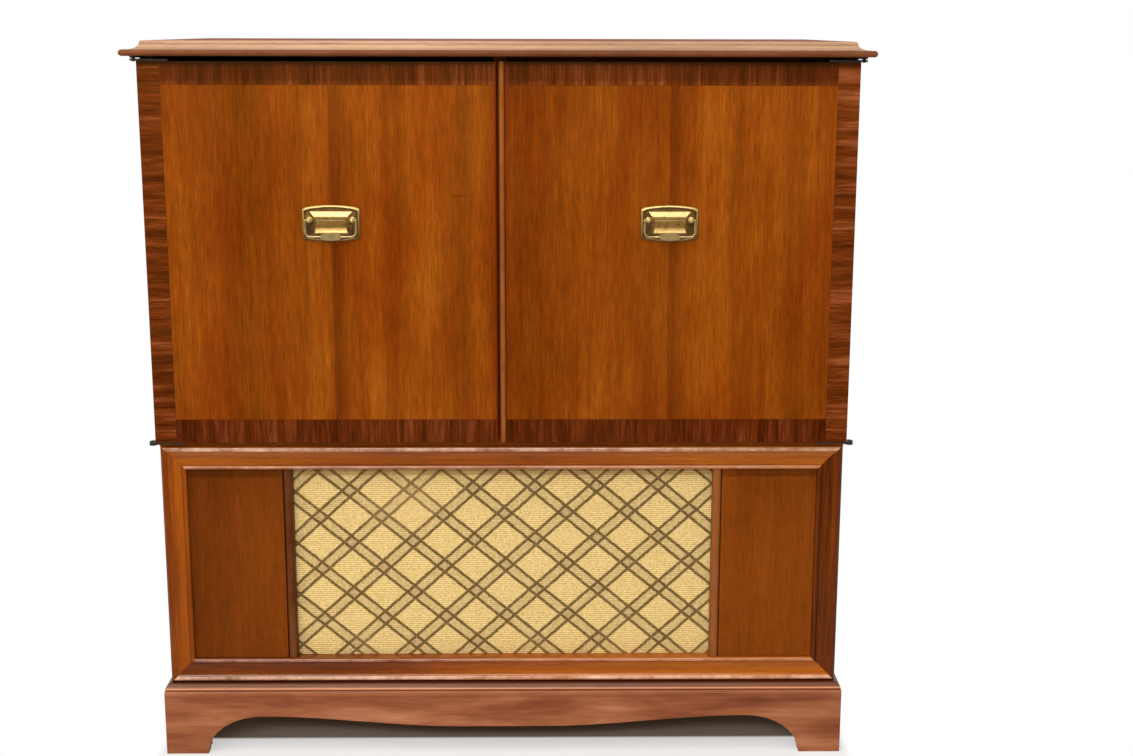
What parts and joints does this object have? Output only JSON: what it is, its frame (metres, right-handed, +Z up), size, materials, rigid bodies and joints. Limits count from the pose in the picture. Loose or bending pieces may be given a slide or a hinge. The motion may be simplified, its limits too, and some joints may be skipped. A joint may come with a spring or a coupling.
{
  "type": "record player",
  "caption": "Console radio-phonograph cabinet with paired doors over a cloth speaker grille, on a bracket base, with record changer, radio and album storage inside.",
  "frame": {"origin": "middle of the footprint on the floor", "axes": "+X to the right as seen from the front, +Y from the doors to the back, +Z up"},
  "size_m": [0.996, 0.47, 1.0149],
  "materials": {
    "case_veneer": "figured mahogany veneer, amber lacquer",
    "frame_wood": "red-brown mahogany moulding, glossy",
    "base_wood": "red-brown mahogany, worn lacquer",
    "plain_wood": "bare plywood and softwood",
    "back_board": "brown pressed fibre board",
    "screw_steel": "dull screw heads",
    "grille_cloth": "cream woven cloth with a dark diagonal plaid",
    "speaker_steel": "grey enamel",
    "cone_paper": "dark pressed paper",
    "hinge_steel": "dark steel",
    "pull_brass": "antique brass",
    "changer_enamel": "brown crackle enamel",
    "bright_steel": "bright plating",
    "motor_black": "black enamel",
    "idler_rubber": "black rubber",
    "platter_enamel": "maroon enamel under a flocked mat",
    "bakelite": "dark brown moulded",
    "dial_glass": "clear",
    "dial_card": "cream dial with plain numbers",
    "pointer_red": "red",
    "chassis_plate": "plated steel",
    "tube_glass": "clear glass tubes",
    "grommet_rubber": "black rubber"
  },
  "bodies": {
    "cabinet": {"top_panel": "case_veneer", "left_side": "case_veneer", "right_side": "case_veneer", "divider_shelf": "case_veneer", "bottom_board": "plain_wood", "centre_partition": "case_veneer", "back_panels": "back_board", "back_screws": "screw_steel", "base_front": "base_wood", "base_sides": "base_wood", "base_rear_frame": "plain_wood", "lower_frame": "frame_wood", "grille_side_panels": "case_veneer", "grille_beads": "case_veneer", "grille_cloth": "grille_cloth", "baffle_board": "plain_wood", "speaker_frame": "speaker_steel", "speaker_magnet": "speaker_steel", "case_door_fittings": "hinge_steel", "changer_deck": "case_veneer", "changer_apron": "case_veneer", "changer_base_plate": "changer_enamel", "spindle": "bright_steel", "drive_motor": "motor_black", "tonearm_posts": "bright_steel", "album_dividers": "plain_wood", "radio_shelf": "case_veneer", "radio_panel": "case_veneer", "dial_bezel": "pull_brass", "dial_glass": "dial_glass", "dial_scale": "dial_card", "radio_chassis": "chassis_plate", "radio_tubes": "tube_glass", "power_transformer": "motor_black", "tuning_capacitor": "chassis_plate", "cord_grommet": "grommet_rubber"},
    "left_door": {"left_door": "case_veneer", "left_door_fittings": "hinge_steel", "left_pull_plate": "pull_brass"},
    "left_bail": {"left_bail": "pull_brass"},
    "right_door": {"right_door": "case_veneer", "right_door_bead": "case_veneer", "right_door_fittings": "hinge_steel", "right_pull_plate": "pull_brass"},
    "right_bail": {"right_bail": "pull_brass"},
    "platter": {"platter": "platter_enamel"},
    "idler_wheel": {"idler_wheel": "idler_rubber"},
    "motor_pulley": {"motor_pulley": "pull_brass"},
    "tonearm_yoke": {"tonearm_yoke": "bright_steel"},
    "tonearm": {"tonearm": "bakelite", "pickup_head": "bakelite"},
    "balance_arm": {"balance_arm": "bright_steel"},
    "changer_knob": {"changer_knob": "bakelite"},
    "dial_pointer": {"dial_pointer": "pointer_red"},
    "capacitor_rotor": {"capacitor_rotor": "chassis_plate"},
    "volume_knob": {"volume_knob": "bakelite"},
    "tone_knob": {"tone_knob": "bakelite"},
    "band_knob": {"band_knob": "bakelite"},
    "tuning_knob": {"tuning_knob": "bakelite"},
    "speaker_cone": {"speaker_cone": "cone_paper"}
  },
  "joints": [
    {"name": "left_door_swing", "type": "hinge", "parent": "cabinet", "child": "left_door", "pos_m": [-0.4855, -0.2053, 0.4685], "axis": [0, 0, -1], "range_deg": [0, 175]},
    {"name": "right_door_swing", "type": "hinge", "parent": "cabinet", "child": "right_door", "pos_m": [0.4855, -0.2053, 0.4685], "axis": [0, 0, 1], "range_deg": [0, 175]},
    {"name": "left_bail_swing", "type": "hinge", "parent": "left_door", "child": "left_bail", "pos_m": [-0.2284, -0.224, 0.7785], "axis": [-1, 0, 0], "range_deg": [0, 150]},
    {"name": "right_bail_swing", "type": "hinge", "parent": "right_door", "child": "right_bail", "pos_m": [0.2284, -0.224, 0.7785], "axis": [-1, 0, 0], "range_deg": [0, 150]},
    {"name": "platter_spin", "type": "hinge", "parent": "cabinet", "child": "platter", "pos_m": [-0.281, 0.008, 0.6389], "axis": [0, 0, -1], "continuous": true},
    {"name": "idler_spin", "type": "hinge", "parent": "cabinet", "child": "idler_wheel", "pos_m": [-0.37666, -0.02682, 0.6159], "axis": [0, 0, -1], "continuous": true},
    {"name": "motor_spin", "type": "hinge", "parent": "cabinet", "child": "motor_pulley", "pos_m": [-0.35016, -0.01717, 0.6159], "axis": [0, 0, -1], "continuous": true},
    {"name": "tonearm_swing", "type": "hinge", "parent": "cabinet", "child": "tonearm_yoke", "pos_m": [-0.0875, 0.14, 0.6625], "axis": [0, 0, -1], "range_deg": [0, 42]},
    {"name": "tonearm_lift", "type": "hinge", "parent": "tonearm_yoke", "child": "tonearm", "pos_m": [-0.0875, 0.14, 0.6625], "axis": [-1, 0, 0], "range_deg": [0, 12]},
    {"name": "balance_arm_swing", "type": "hinge", "parent": "cabinet", "child": "balance_arm", "pos_m": [-0.4035, 0.164, 0.7465], "axis": [0, 0, -1], "range_deg": [0, 51.8]},
    {"name": "changer_knob_turn", "type": "hinge", "parent": "cabinet", "child": "changer_knob", "pos_m": [-0.3955, -0.126, 0.6159], "axis": [0, 0, -1], "range_deg": [-40, 40]},
    {"name": "tuning_turn", "type": "hinge", "parent": "cabinet", "child": "tuning_knob", "pos_m": [0.3855, -0.168, 0.8229], "axis": [0, 1, 0], "range_deg": [-900, 900]},
    {"name": "pointer_slide", "type": "slide", "parent": "cabinet", "child": "dial_pointer", "axis": [1, 0, 0], "range_m": [-0.1, 0.1]},
    {"name": "capacitor_turn", "type": "hinge", "parent": "cabinet", "child": "capacitor_rotor", "pos_m": [0.2775, -0.1138, 0.8799], "axis": [0, 1, 0], "range_deg": [-90, 90]},
    {"name": "volume_turn", "type": "hinge", "parent": "cabinet", "child": "volume_knob", "pos_m": [0.0855, -0.168, 0.8229], "axis": [0, 1, 0], "range_deg": [0, 300]},
    {"name": "tone_turn", "type": "hinge", "parent": "cabinet", "child": "tone_knob", "pos_m": [0.1855, -0.168, 0.8229], "axis": [0, 1, 0], "range_deg": [-150, 150]},
    {"name": "band_turn", "type": "hinge", "parent": "cabinet", "child": "band_knob", "pos_m": [0.2855, -0.168, 0.8229], "axis": [0, 1, 0], "range_deg": [-45, 45]},
    {"name": "cone_slide", "type": "slide", "parent": "cabinet", "child": "speaker_cone", "axis": [0, 1, 0], "range_m": [-0.002, 0.002], "stiffness_N_per_m": 1500}
  ],
  "couplings": [
    {"joint": "idler_spin", "follows": "platter_spin", "ratio": 5.6364},
    {"joint": "motor_spin", "follows": "platter_spin", "ratio": -20.667},
    {"joint": "pointer_slide", "follows": "tuning_turn", "m_per_rad": 0.006366},
    {"joint": "capacitor_turn", "follows": "tuning_turn", "ratio": 0.0999}
  ]
}
